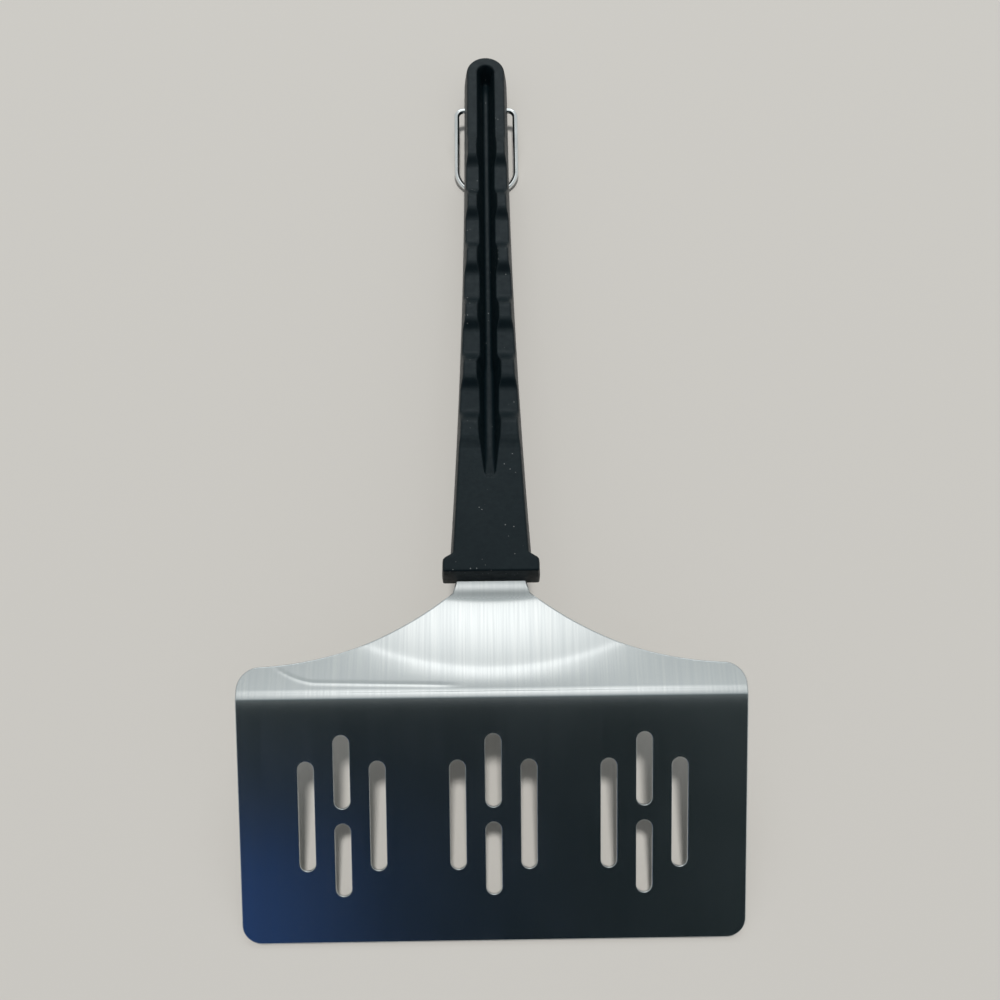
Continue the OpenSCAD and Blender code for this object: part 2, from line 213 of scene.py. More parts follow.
def shoulder_height(x, y):
    """Height of the shoulder's face above its own plane, with the crease and the neck's bend rounded."""
    run = NECK_BEND_Y - DISH_FROM
    up = CREASE_R - np.hypot(x, y - (DISH_FROM + CREASE_R))
    t = np.clip(up / run, 0, 1)
    cone = up * NECK_BEND_Z / run + 4 * CROWN_RISE * t * (1 - t)
    neck = NECK_BEND_Z - (y - NECK_BEND_Y) * tan(NECK_ANGLE)
    t = np.clip(y - (COLLAR_Y + NECK_CURL_PAST - NECK_CURL_LEN), 0, NECK_CURL_LEN)
    neck = neck + NECK_CURL * t * t / (2 * NECK_CURL_LEN)
    dish = soft_min(cone, neck, NECK_SOFT)
    crease = DISH_FROM + CREASE_R - np.sqrt(np.maximum(CREASE_R**2 - x * x, 0))
    hollow = FLANGE_HOLLOW * np.sin(np.pi * np.clip(y / np.maximum(crease, 1), 0, 1))
    return soft_max(dish, 0.0, CREASE_SOFT) - hollow + flange_mark(x, y)


def fold_run(h):
    """Drop of the flange, for a slope of 1, at h millimetres past the middle of the bend."""
    run = 0.0
    for share, start, end in FOLD_PARTS:
        inner = np.clip(h - start, 0, end - start)
        run = run + share * (inner**2 / (2 * (end - start)) + np.maximum(h - end, 0))
    tail = FOLD_TAIL_LEN * np.exp(np.minimum(h - FOLD_TAIL_AT, 0) / FOLD_TAIL_LEN)
    return run + FOLD_TAIL * (tail + np.maximum(h - FOLD_TAIL_AT, 0))


def sheet_point(x, s):
    """Upper face of the sheet, s millimetres from its front edge."""
    d = s - BLADE_LEN
    back = d + FOLD_BACK
    bend = math.radians(HEEL_BEND)
    h = np.where(back > 0, math.cos(bend), 1.0) * back
    rise = shoulder_height(x, np.maximum(d, 0))
    y = BLADE_LEN - FOLD_BACK + h + np.where(d > 0, math.sin(bend) * rise, 0)
    z = -math.tan(bend) * fold_run(h) + np.where(d > 0, math.cos(bend) * rise, 0)
    y, z = from_blade(y, SHEET_T + z)
    return np.stack([x, y, z], -1)


def sheet_axes(x, s):
    """Directions of the sheet at a point: across, along and out of its upper face."""
    dx = (sheet_point(x + PROBE, s) - sheet_point(x - PROBE, s)) / (2 * PROBE)
    ds = (sheet_point(x, s + PROBE) - sheet_point(x, s - PROBE)) / (2 * PROBE)
    dx /= np.linalg.norm(dx, axis=-1, keepdims=True)
    ds /= np.linalg.norm(ds, axis=-1, keepdims=True)
    n = np.cross(dx, ds)
    return dx, ds, n / np.linalg.norm(n, axis=-1, keepdims=True)


# ---------------------------------------------------------------- blade: mesh

# Radius of the sheet's sheared outer edge and of its slots' edges, and points round each of them
RIM_R, SLOT_RIM_R, RIM_STEPS = 0.62, 0.3, 5
# Points on the curved stretches of the outline, and the longest step between two points
FRONT_POINTS, HEEL_POINTS, SWEEP_POINTS, SLOT_END_POINTS = 16, 18, 90, 20
OUTLINE_STEP, SLOT_STEP = 2.0, 3.0
# Points on each side of the sheet, from SIDE_FROM past the heel to the outer corner of the shoulder
SIDE_FROM, SIDE_POINTS = -8, 30
# Distances between the rows of inner points: on the flat blade, near the heel, in its bend, on the
# shoulder and on the tang. NEAR_FROM, BEND_FROM and BEND_TO are where they change, past the heel.
FLAT_STEP, NEAR_STEP, BEND_STEP, SHOULDER_STEP, TANG_STEP = 6.0, 0.8, 0.2, 0.5, 8.0
NEAR_FROM, BEND_FROM, BEND_TO = -19.0, -5.0, 3.0
# Distance between the inner points of a row, and how far they stay from an edge
COLUMN_STEP, EDGE_CLEAR = 2.0, 0.45
# Points nearer than this are one point, and a triangle with less area has collapsed
SAME_POINT, NO_AREA = 1e-6, 1e-9
# How little of a corner's outward direction may lie along its sides' own
CORNER_LIMIT = 0.6


def sheet_outline():
    """Outline of the sheet laid flat, counterclockwise, as [across, along]."""
    half = BLADE_W / 2
    corner_x = half - HEEL_CORNER_R
    corner_y = ARC_Y - math.sqrt((SHOULDER_R + HEEL_CORNER_R) ** 2 - (ARC_X - corner_x) ** 2)
    meet = math.degrees(math.atan2(ARC_Y - corner_y, ARC_X - corner_x))
    meet_x = corner_x + HEEL_CORNER_R * math.cos(math.radians(meet))
    x = np.linspace(meet_x, NECK_ROOT_W / 2, SWEEP_POINTS)
    sweep = np.stack([x, BLADE_LEN + ARC_Y - np.sqrt(SHOULDER_R**2 - (x - ARC_X) ** 2)], -1)
    flat = math.cos(math.radians(NECK_ANGLE))
    collar = BLADE_LEN + COLLAR_Y
    tang = np.array([
        [NECK_W / 2, collar],
        [NECK_W / 2, collar + TANG_ROOT_LEN * flat],
        [TANG_W / 2, collar + TANG_ROOT_LEN * flat],
        [TANG_W / 2, collar + TANG_LEN * flat],
        [0, collar + TANG_LEN * flat]])
    side = BLADE_LEN + np.linspace(SIDE_FROM, corner_y, SIDE_POINTS + 1)[:-1]
    right = np.concatenate([
        [[0, 0]],
        arc(half - FRONT_CORNER_R, FRONT_CORNER_R, FRONT_CORNER_R, -90, 0, FRONT_POINTS),
        [[half, y] for y in side],
        arc(corner_x, BLADE_LEN + corner_y, HEEL_CORNER_R, 0, meet, HEEL_POINTS),
        sweep[1:],
        tang])
    right = resample(right, OUTLINE_STEP)
    left = right[-2:0:-1] * [-1, 1]
    return np.concatenate([right, left])


def slot_outline(cx, cy, length):
    """A hole in the sheet, clockwise."""
    run = (length - SLOT_W) / 2
    r = SLOT_W / 2
    loop = np.concatenate([
        arc(cx, cy + run, r, 0, 180, SLOT_END_POINTS),
        arc(cx, cy - run, r, 180, 360, SLOT_END_POINTS)])
    loop = resample(np.concatenate([loop, loop[:1]]), SLOT_STEP)[:-1]
    return loop[::-1]


def outward(loop):
    """Outward direction at each vertex of a loop that has the metal on its left."""
    e = np.roll(loop, -1, 0) - loop
    e /= np.linalg.norm(e, axis=1, keepdims=True)
    n = np.stack([e[:, 1], -e[:, 0]], -1)
    m = n + np.roll(n, 1, 0)
    m /= np.linalg.norm(m, axis=1, keepdims=True)
    # Longer at a corner, so that the line keeps its distance there too
    return m / np.clip((m * n).sum(1, keepdims=True), CORNER_LIMIT, 1)


def sheet_rims():
    """The outline and then every slot, as [line where the rounded edge starts, outward, radius]."""
    loops = [(sheet_outline(), RIM_R)]
    for group in (-1, 0, 1):
        x = group * GROUP_PITCH
        for side in (-1, 1):
            loops.append((slot_outline(x + side * SLOT_PITCH, SLOT_MID, LONG_SLOT), SLOT_RIM_R))
            mid = SLOT_MID + side * (SHORT_SLOT + SLOT_BRIDGE) / 2
            loops.append((slot_outline(x, mid, SHORT_SLOT), SLOT_RIM_R))
    return [(loop - outward(loop) * r, outward(loop), r) for loop, r in loops]


def inside(points, loop):
    x, y = points[:, 0], points[:, 1]
    hit = np.zeros(len(points), bool)
    for (x0, y0), (x1, y1) in zip(loop, np.roll(loop, -1, 0)):
        if y0 == y1:
            continue
        crosses = (y0 > y) != (y1 > y)
        hit ^= crosses & (x < (x1 - x0) * (y - y0) / (y1 - y0) + x0)
    return hit


def on_metal(points, rims):
    keep = inside(points, rims[0][0])
    for loop, _, _ in rims[1:]:
        keep &= ~inside(points, loop)
    return keep


def inner_points(rims):
    """Points between the edges: sparse on the flat blade, dense where the sheet bends."""
    heel, collar = BLADE_LEN, BLADE_LEN + COLLAR_Y
    rows = np.concatenate([
        np.arange(FLAT_STEP / 2, heel + NEAR_FROM, FLAT_STEP),
        np.arange(heel + NEAR_FROM, heel + BEND_FROM, NEAR_STEP),
        heel + np.arange(BEND_FROM, BEND_TO + BEND_STEP / 2, BEND_STEP),
        np.arange(heel + BEND_TO + SHOULDER_STEP, collar + TANG_ROOT_LEN / 2, SHOULDER_STEP),
        np.arange(collar + TANG_ROOT_LEN, collar + TANG_LEN, TANG_STEP)])
    reach = int(BLADE_W / 2 / COLUMN_STEP)
    columns = COLUMN_STEP * np.arange(-reach, reach + 1)
    grid = np.stack(np.meshgrid(columns, rows), -1).reshape(-1, 2)
    grid = grid[on_metal(grid, rims)]
    edges = np.concatenate([loop for loop, _, _ in rims])
    near = np.array([np.min(np.hypot(*(edges - p).T)) for p in grid])
    return grid[near > EDGE_CLEAR]


def flat_sheet(rims):
    """The sheet laid flat: its points, its triangles, and the numbers of the points along each rim."""
    points, edges, spans = [], [], []
    for loop, _, _ in rims:
        base, size = len(points), len(loop)
        spans.append((base, size))
        points += [tuple(p) for p in loop]
        edges += [(base + k, base + (k + 1) % size) for k in range(size)]
    points += [tuple(p) for p in inner_points(rims)]
    out = delaunay_2d_cdt([Vector(p) for p in points], edges, [], 0, SAME_POINT)
    flat = np.array([tuple(v) for v in out[0]])
    place = {old: new for new, olds in enumerate(out[3]) for old in olds}
    tris = np.array(out[2])
    tris = tris[on_metal(flat[tris].mean(1), rims)]
    a, b, c = flat[tris[:, 0]], flat[tris[:, 1]], flat[tris[:, 2]]
    area = (b[:, 0] - a[:, 0]) * (c[:, 1] - a[:, 1]) - (b[:, 1] - a[:, 1]) * (c[:, 0] - a[:, 0])
    tris[area < 0] = tris[area < 0][:, ::-1]
    tris = tris[np.abs(area) > NO_AREA]
    return flat, tris, [np.array([place[base + k] for k in range(size)]) for base, size in spans]


def rim_profile(r):
    """Rounded edge from the upper face to the lower one, as [outward, down, normal outward, normal up]."""
    a = np.linspace(0, math.pi / 2, RIM_STEPS)
    upper = [(r * math.sin(t), r * (1 - math.cos(t)), math.sin(t), math.cos(t)) for t in a]
    lower = [(out, SHEET_T - down, n_out, -n_up) for out, down, n_out, n_up in upper[::-1]]
    return upper + lower


def make_sheet():
    rims = sheet_rims()
    flat, tris, rim_ids = flat_sheet(rims)
    count = len(flat)
    top = sheet_point(flat[:, 0], flat[:, 1])
    _, _, n = sheet_axes(flat[:, 0], flat[:, 1])
    verts = [top, top - n * SHEET_T]
    normals = [n, -n]
    uvs = [flat, flat]
    faces = tris.tolist() + (tris[:, ::-1] + count).tolist()
    total = 2 * count
    for ids, (loop, out_dir, r) in zip(rim_ids, rims):
        size = len(ids)
        unit = out_dir / np.linalg.norm(out_dir, axis=1, keepdims=True)
        rows = [ids]
        for out, down, n_out, n_up in rim_profile(r)[1:-1]:
            p = loop + out_dir * out
            dx, ds, n = sheet_axes(p[:, 0], p[:, 1])
            verts.append(sheet_point(p[:, 0], p[:, 1]) - n * down)
            normals.append((dx * unit[:, :1] + ds * unit[:, 1:]) * n_out + n * n_up)
            uvs.append(p)
            rows.append(np.arange(total, total + size))
            total += size
        rows.append(ids + count)
        for upper, lower in zip(rows[:-1], rows[1:]):
            for k in range(size):
                m = (k + 1) % size
                faces.append([int(upper[k]), int(lower[k]), int(lower[m]), int(upper[m])])
    return new_mesh("blade_sheet", np.concatenate(verts), faces,
                    np.concatenate(normals), np.concatenate(uvs))


# ---------------------------------------------------------------- handle

# The sides swell out by a dome of this radius, less so at the collar and at the tip
SIDE_DOME_R, COLLAR_DOME, TIP_DOME_LOSS = 44.0, 0.4, 0.8
# Rounded edges: front of the collar, finger side, rim of the channel and palm side, the smallest
# anywhere, and those of the round tip
FRONT_ROUND, TOP_EDGE_R, RIM_EDGE_R, PALM_EDGE_R, MIN_EDGE_R = 0.9, 1.15, 0.8, 1.7, 0.25
TIP_TOP_EDGE_R, TIP_PALM_EDGE_R, COLLAR_PALM_SHARE = 0.75, 0.9, 0.5
# The flare starts a little inside the collar and runs past its own length
FLARE_EARLY, FLARE_EXTRA = 0.6, 1.0
# Depth of the channel at its pointed end, length and roundness of the point, and length over which the
# channel narrows past the foot of the ramp
NOSE_DEPTH, NOSE_LEN, NOSE_POWER, STEP_LEN = 1.0, 2.6, 1.8, 6
# The rounding of the channel's floor, as shares of its half width and of its depth, and the largest
# rounding of its rim, as a share of its depth
FLOOR_SOFT_W, FLOOR_SOFT_H, RIM_SHARE = 0.85, 0.3, 0.45
# The round tip is stretched, and inside LEAD_HALF_W its points keep to the end of the channel
TIP_STRETCH, LEAD_HALF_W, LEAD_LEN = 1.08, 5.5, 30
# Points of a cross-section: floor, wall and rim of the channel, flat of the finger side, its edge, side,
# edge of the palm side, palm side. UPPER_N counts them down to the upper part of the side.
FLOOR_N, WALL_N, RIM_N, FLAT_N, EDGE_N, SIDE_N, PALM_EDGE_N, PALM_N = 5, 4, 6, 4, 7, 6, 7, 7
CHANNEL_N = 1 + FLOOR_N + WALL_N + RIM_N
UPPER_N = CHANNEL_N + FLAT_N + EDGE_N + 2
# Cross-sections: distances between them in the collar, the flare, the plain body, just before the
# channel, on the ramp, on the waves and near the tip, and where these stretches start
COLLAR_GAP, FLARE_GAP, BODY_GAP, NOSE_GAP, RAMP_GAP, WAVE_GAP, TIP_GAP = 0.8, 0.3, 1.5, 0.2, 1.0, 0.75, 2.0
COLLAR_FROM, FLARE_FROM, FLARE_TO, BODY_FROM, BODY_TO, WAVES_TO = 1.5, 4.8, 9.6, 10.0, 40.0, 235.0
NOSE_BEFORE, STEP_GAP = 0.6, 0.15
FRONT_N, NOSE_N, TIP_N = 7, 14, 21
# Edges of the mesh that turn by more than this are drawn sharp
GRIP_SHARP = 38


def crest_at(i):
    return WAVE_FIRST + i * WAVE_PITCH + WAVE_GROWTH * i * (i - 1) / 2


def top_z(y):
    """Height of the finger side along the handle, with its waves."""
    crest, valley = GRIP_H + CREST_H, GRIP_H - VALLEY_H
    z = GRIP_H
    for i in range(WAVE_COUNT):
        up = crest_at(i) - CREST_FLAT - STEEP_LEN
        down = crest_at(i) + CREST_FLAT
        z += (crest - (GRIP_H if i == 0 else valley)) * ease((y - up) / STEEP_LEN)
        z -= (crest - (GRIP_H if i == WAVE_COUNT - 1 else valley)) * ease((y - down) / GENTLE_LEN)
    return z


def outer_half_w(y):
    collar = COLLAR_W / 2
    u = ease((y - (COLLAR_LEN - FLARE_EARLY)) / (FLARE_LEN + FLARE_EXTRA))
    return collar + (body_half_w(y) - collar) * u


def channel_floor(y):
    """Half width and height of the channel's floor, or None before its pointed end."""
    nose_mid = NOSE_AT + RAMP_HALF_W
    if y < NOSE_AT:
        return None
    if y <= STEP_AT:
        u = max((y - nose_mid) / (STEP_AT - nose_mid), 0)
        foot = FLOOR_H + STEP_H
        z = foot + (GRIP_H - NOSE_DEPTH - foot) * (1 - u) ** 3
        t = max(0.0, (NOSE_AT + NOSE_LEN - y) / NOSE_LEN)
        return RAMP_HALF_W * (1 - t**NOSE_POWER), z
    slim = float(ease((y - STEP_AT) / STEP_LEN))
    return RAMP_HALF_W + (FLOOR_HALF_W - RAMP_HALF_W) * slim, FLOOR_H


def channel_line(half_w, floor_z, top):
    """Right half of the channel, from the middle of its floor to the top of its rim."""
    depth = top - floor_z
    soft = min(FLOOR_SOFT_W * half_w, FLOOR_SOFT_H * depth)
    r = min(RIM_EDGE_R, RIM_SHARE * depth)
    lean = math.atan(WALL_DRAFT)
    rim_z = top - r
    rim_x = half_w + WALL_DRAFT * (rim_z - floor_z) + r / math.cos(lean)
    start = np.array([max(half_w - soft, 0), floor_z])
    corner = np.array([half_w, floor_z])
    foot = np.array([half_w + WALL_DRAFT * soft, floor_z + soft])
    rim = np.array([rim_x - r * math.cos(lean), rim_z + r * math.sin(lean)])
    line = [[0.0, floor_z]]
    for t in np.linspace(0, 1, FLOOR_N):
        line.append(list((1 - t) ** 2 * start + 2 * t * (1 - t) * corner + t * t * foot))
    for t in np.linspace(0, 1, WALL_N + 2)[1:-1]:
        line.append(list(foot + (rim - foot) * t))
    for t in np.linspace(lean, math.pi / 2, RIM_N):
        line.append([rim_x - r * math.cos(t), rim_z + r * math.sin(t)])
    return line


def section(y, phi):
    """Right half of a cross-section, from the middle of the finger side to the middle of the palm
    side, as [outward, up]. phi is above 0 only in the round tip."""
    inset = 0.0
    if y < FRONT_ROUND:
        inset = FRONT_ROUND - math.sqrt(FRONT_ROUND**2 - (FRONT_ROUND - y) ** 2)
    half_w = float(outer_half_w(y)) - inset
    top = float(top_z(y)) - inset
    past_collar = float(ease((y - COLLAR_LEN) / FLARE_LEN))
    crown = past_collar * math.cos(math.radians(phi)) ** 2
    dome = COLLAR_DOME + (1 - COLLAR_DOME) * past_collar
    dome *= 1 - TIP_DOME_LOSS * math.sin(math.radians(phi))

    def palm(x):
        return inset - BACK_H + crown * x * x / (2 * CROWN_R)

    def side(z):
        return half_w - dome * (SIDE_DOME_R - math.sqrt(SIDE_DOME_R**2 - z * z))

    floor = channel_floor(y)
    pts = channel_line(*floor, top) if floor else [[0.0, top]] * CHANNEL_N
    # Flat of the finger side and its rounded edge
    r = max(TOP_EDGE_R - (TOP_EDGE_R - TIP_TOP_EDGE_R) * phi / 90 - inset, MIN_EDGE_R)
    edge_z = top - r
    lean = math.atan(dome * math.tan(math.asin(edge_z / SIDE_DOME_R)))
    edge_x = side(edge_z) - r / math.cos(lean)
    inner = pts[-1][0]
    pts += [[inner + (edge_x - inner) * t, top] for t in np.linspace(0, 1, FLAT_N + 2)[1:-1]]
    pts += [[edge_x + r * math.cos(t), edge_z + r * math.sin(t)]
            for t in np.linspace(math.pi / 2, lean, EDGE_N)]
    side_top = edge_z + r * math.sin(lean)
    # Rounded edge of the palm side, then the side that ends on it
    r = PALM_EDGE_R - (PALM_EDGE_R - TIP_PALM_EDGE_R) * phi / 90
    r = max(r * (COLLAR_PALM_SHARE + (1 - COLLAR_PALM_SHARE) * past_collar) - inset, MIN_EDGE_R)
    palm_x = side(0) - r
    tilt = math.asin(crown * palm_x / CROWN_R)
    edge_z = palm(palm_x) + r / math.cos(tilt)
    edge_x = side(edge_z) - r
    pts += [[side(z), z] for z in np.linspace(side_top, edge_z, SIDE_N + 2)[1:-1]]
    pts += [[edge_x + r * math.cos(t), edge_z + r * math.sin(t)]
            for t in np.linspace(0, tilt - math.pi / 2, PALM_EDGE_N)]
    palm_x = pts[-1][0]
    pts += [[palm_x * (1 - t), palm(palm_x * (1 - t))] for t in np.linspace(0, 1, PALM_N + 1)[1:]]
    return np.array(pts)


def handle_stations(tip_mid):
    """Where the cross-sections lie along the handle, as [distance, angle]: the tip's stand in a fan."""
    first_wave = crest_at(0) - CREST_FLAT - STEEP_LEN
    ys = np.unique(np.round(np.concatenate([
        FRONT_ROUND * (1 - np.cos(np.linspace(0, math.pi / 2, FRONT_N))),
        np.arange(COLLAR_FROM, FLARE_FROM, COLLAR_GAP),
        np.arange(FLARE_FROM, FLARE_TO, FLARE_GAP),
        np.arange(BODY_FROM, BODY_TO, BODY_GAP),
        np.arange(NOSE_AT - NOSE_BEFORE, NOSE_AT, NOSE_GAP),
        NOSE_AT + NOSE_LEN * (1 - np.cos(np.linspace(0, math.pi / 2, NOSE_N))),
        np.arange(NOSE_AT + NOSE_LEN, first_wave, RAMP_GAP),
        np.arange(first_wave, WAVES_TO, WAVE_GAP),
        [STEP_AT, STEP_AT + STEP_GAP],
        np.arange(WAVES_TO, tip_mid, TIP_GAP),
        [tip_mid]]), WELD_DIGITS))
    fan = np.linspace(0, 90, TIP_N + 1)[1:]
    return [(y, 0.0) for y in ys] + [(tip_mid, phi) for phi in fan]


def make_handle():
    tip_mid = HANDLE_LEN - WAIST_W / 2
    channel_end = HANDLE_LEN - TIP_WALL - FLOOR_HALF_W - WALL_DRAFT * (GRIP_H - FLOOR_H)
    rows = []
    for y, phi in handle_stations(tip_mid):
        line = section(y, phi)
        out, up = line[:, 0], line[:, 1]
        c, s = math.cos(math.radians(phi)), math.sin(math.radians(phi))
        # The channel's own end lies a little beyond the middle of the round tip
        lead = (channel_end - tip_mid) * float(ease((y - (tip_mid - LEAD_LEN)) / LEAD_LEN))
        share = np.clip(1 - (out - LEAD_HALF_W) / (float(outer_half_w(y)) - LEAD_HALF_W), 0, 1)
        share[:CHANNEL_N] = 1.0
        share[UPPER_N:] = 0.0
        rows.append(np.stack([out * c, y + share * lead + out * s * TIP_STRETCH, up], -1))
    grid = np.stack(rows)
    ny, nc, _ = grid.shape
    right = grid.reshape(-1, 3)
    quads = []
    for j in range(ny - 1):
        for k in range(nc - 1):
            a, b = j * nc + k, j * nc + k + 1
            quads.append([a, b, b + nc, a + nc])
    mirrored = [[v + len(right) for v in q[::-1]] for q in quads]
    cap = list(range(nc - 1, -1, -1)) + [len(right) + k for k in range(nc)]
    points, faces = join_equal(np.concatenate([right, right * [-1, 1, 1]]), quads + mirrored + [cap])
    y, z = from_handle(points[:, 1], points[:, 2])
    obj = new_mesh("handle_grip", np.stack([points[:, 0], y, z], -1), faces)
    obj.data.set_sharp_from_angle(angle=math.radians(GRIP_SHARP))
    return obj


# ---------------------------------------------------------------- hanging loop

# Points round the wire, in its corners and along each arm
WIRE_N, EAR_N, BOW_N, ARM_N = 32, 18, 30, 8
# Edges of the mesh that turn by more than this are drawn sharp
WIRE_SHARP = 50


def wire_path():
    """Middle of the wire from one end to the other, as [across, distance from the pivot]."""
    arm = (LOOP_W - WIRE_D) / 2
    stub = body_half_w(PIVOT_AT) - BORE_DEPTH + END_GAP
    straight = np.linspace(EAR_R, LOOP_LEN - BOW_R, ARM_N + 2)[1:-1]
    right = np.concatenate([
        [[stub, 0.0]],
        arc(arm - EAR_R, EAR_R, EAR_R, -90, 0, EAR_N),
        np.stack([np.full(ARM_N, arm), straight], -1),
        arc(arm - BOW_R, LOOP_LEN - BOW_R, BOW_R, 0, 90, BOW_N)])
    return np.concatenate([right, [[0.0, LOOP_LEN]], right[::-1] * [-1, 1]])


def make_loop():
    r = WIRE_D / 2
    path = wire_path()
    along = np.gradient(path, axis=0)
    along /= np.linalg.norm(along, axis=1, keepdims=True)
    a = np.linspace(0, 2 * math.pi, WIRE_N, endpoint=False)
    verts = []
    for (x, y), (tx, ty) in zip(path, along):
        verts += [[x + r * c * ty, y - r * c * tx, r * s] for c, s in zip(np.cos(a), np.sin(a))]
    verts = np.array(verts)
    faces = []
    for i in range(len(path) - 1):
        for k in range(WIRE_N):
            this, following = i * WIRE_N, (i + 1) * WIRE_N
            m = (k + 1) % WIRE_N
            faces.append([this + k, this + m, following + m, following + k])
    faces.append(list(range(WIRE_N))[::-1])
    faces.append([(len(path) - 1) * WIRE_N + k for k in range(WIRE_N)])
    pivot_y, pivot_z = from_handle(PIVOT_AT, PIVOT_H)
    drop = math.degrees(math.asin((pivot_z - r) / LOOP_LEN))
    y, z = turn(verts[:, 1], verts[:, 2], 180 + drop)
    obj = new_mesh("loop_wire", np.stack([verts[:, 0], y + pivot_y, z + pivot_z], -1), faces)
    obj.data.set_sharp_from_angle(angle=math.radians(WIRE_SHARP))
    return obj


# ---------------------------------------------------------------- material nodes

def material(name):
    mat = bpy.data.materials.new(name)
    mat.use_nodes = True
    tree = mat.node_tree
    tree.nodes.clear()
    out = tree.nodes.new("ShaderNodeOutputMaterial")
    bsdf = tree.nodes.new("ShaderNodeBsdfPrincipled")
    tree.links.new(bsdf.outputs[0], out.inputs["Surface"])
    return mat, tree, bsdf


def connect(tree, value, socket):
    """value is a number, a colour or the output of another node."""
    if isinstance(value, (int, float)):
        socket.default_value = value
    elif isinstance(value, tuple):
        socket.default_value = (*value, 1.0)
    else:
        tree.links.new(value, socket)


def object_coord(tree):
    return tree.nodes.new("ShaderNodeTexCoord").outputs["Object"]


def object_axes(tree):
    split = tree.nodes.new("ShaderNodeSeparateXYZ")
    tree.links.new(object_coord(tree), split.inputs[0])
    return split.outputs


def noise(tree, cells, detail, roughness=0.5, dimensions="3D"):
    """Noise over the object's own coordinates, with this many cells to a metre along X, Y and Z."""
    mapping = tree.nodes.new("ShaderNodeMapping")
    mapping.inputs["Scale"].default_value = cells
    tex = tree.nodes.new("ShaderNodeTexNoise")
    tex.noise_dimensions = dimensions
    tex.inputs["Scale"].default_value = 1.0
    tex.inputs["Detail"].default_value = detail
    tex.inputs["Roughness"].default_value = roughness
    tree.links.new(object_coord(tree), mapping.inputs["Vector"])
    tree.links.new(mapping.outputs[0], tex.inputs["Vector"])
    return tex.outputs["Fac"]


def spread(tree, value, lo, hi, from_lo=0.3, from_hi=0.7):
    """lo at from_lo and below, hi at from_hi and above. A noise lies mostly between 0.3 and 0.7."""
    made = tree.nodes.new("ShaderNodeMapRange")
    made.inputs["From Min"].default_value = from_lo
    made.inputs["From Max"].default_value = from_hi
    made.inputs["To Min"].default_value = lo
    made.inputs["To Max"].default_value = hi
    tree.links.new(value, made.inputs["Value"])
    return made.outputs[0]


def soft_step(tree, value, start, end):
    """0 at start, 1 at end, with a soft run between them."""
    made = tree.nodes.new("ShaderNodeMapRange")
    made.interpolation_type = "SMOOTHSTEP"
    made.inputs["From Min"].default_value = start
    made.inputs["From Max"].default_value = end
    tree.links.new(value, made.inputs["Value"])
    return made.outputs[0]


def math_node(tree, operation, *values):
    made = tree.nodes.new("ShaderNodeMath")
    made.operation = operation
    for socket, value in zip(made.inputs, values):
        connect(tree, value, socket)
    return made.outputs[0]


def mix_colour(tree, fac, a, b):
    made = tree.nodes.new("ShaderNodeMix")
    made.data_type = "RGBA"
    # Sockets 6 and 7 are the colours A and B
    for socket, value in ((made.inputs["Factor"], fac), (made.inputs[6], a), (made.inputs[7], b)):
        connect(tree, value, socket)
    return made.outputs[2]


def bump(tree, bsdf, heights):
    """heights: [(value, strength, depth in millimetres)], one on top of the other."""
    normal = None
    for value, strength, depth in heights:
        made = tree.nodes.new("ShaderNodeBump")
        made.inputs["Strength"].default_value = strength
        made.inputs["Distance"].default_value = depth * MM
        tree.links.new(value, made.inputs["Height"])
        if normal is not None:
            tree.links.new(normal, made.inputs["Normal"])
        normal = made.outputs[0]
    tree.links.new(normal, bsdf.inputs["Normal"])


def specks(tree, cells, size, share, seed):
    """Small round spots: 1 inside a spot. cells is how many there are to a metre, size is a spot's radius
    in a cell, and share is the part of the cells that have one."""
    mapping = tree.nodes.new("ShaderNodeMapping")
    mapping.inputs["Location"].default_value = (seed, seed * 0.7, seed * 1.3)
    tex = tree.nodes.new("ShaderNodeTexVoronoi")
    tex.inputs["Scale"].default_value = cells
    tree.links.new(object_coord(tree), mapping.inputs["Vector"])
    tree.links.new(mapping.outputs[0], tex.inputs["Vector"])
    spot = math_node(tree, "LESS_THAN", tex.outputs["Distance"], size)
    split = tree.nodes.new("ShaderNodeSeparateColor")
    tree.links.new(tex.outputs["Color"], split.inputs[0])
    chosen = math_node(tree, "LESS_THAN", split.outputs[0], share)
    return math_node(tree, "MULTIPLY", spot, chosen)


# ---------------------------------------------------------------- materials

STEEL_DULL, STEEL_PALE = (0.575, 0.60, 0.605), (0.615, 0.635, 0.635)
STEEL_LINE, STEEL_DUST = (0.55, 0.575, 0.585), (0.55, 0.57, 0.58)
# The neck is scuffed from its bend on, so it mirrors less sharply than the rest
NECK_START = from_shoulder(NECK_BEND_Y, NECK_BEND_Z)[0]
SCUFF_LEN, SCUFF_ROUGH = 3, 0.09
PLASTIC_DEEP, PLASTIC_PALE = (0.0025, 0.0075, 0.0100), (0.0045, 0.0100, 0.0125)
PLASTIC_FLECK, PLASTIC_WORN = (0.0015, 0.0050, 0.0075), (0.16, 0.17, 0.17)
WIRE_DULL, WIRE_BRIGHT = (0.72, 0.735, 0.74), (0.84, 0.85, 0.85)


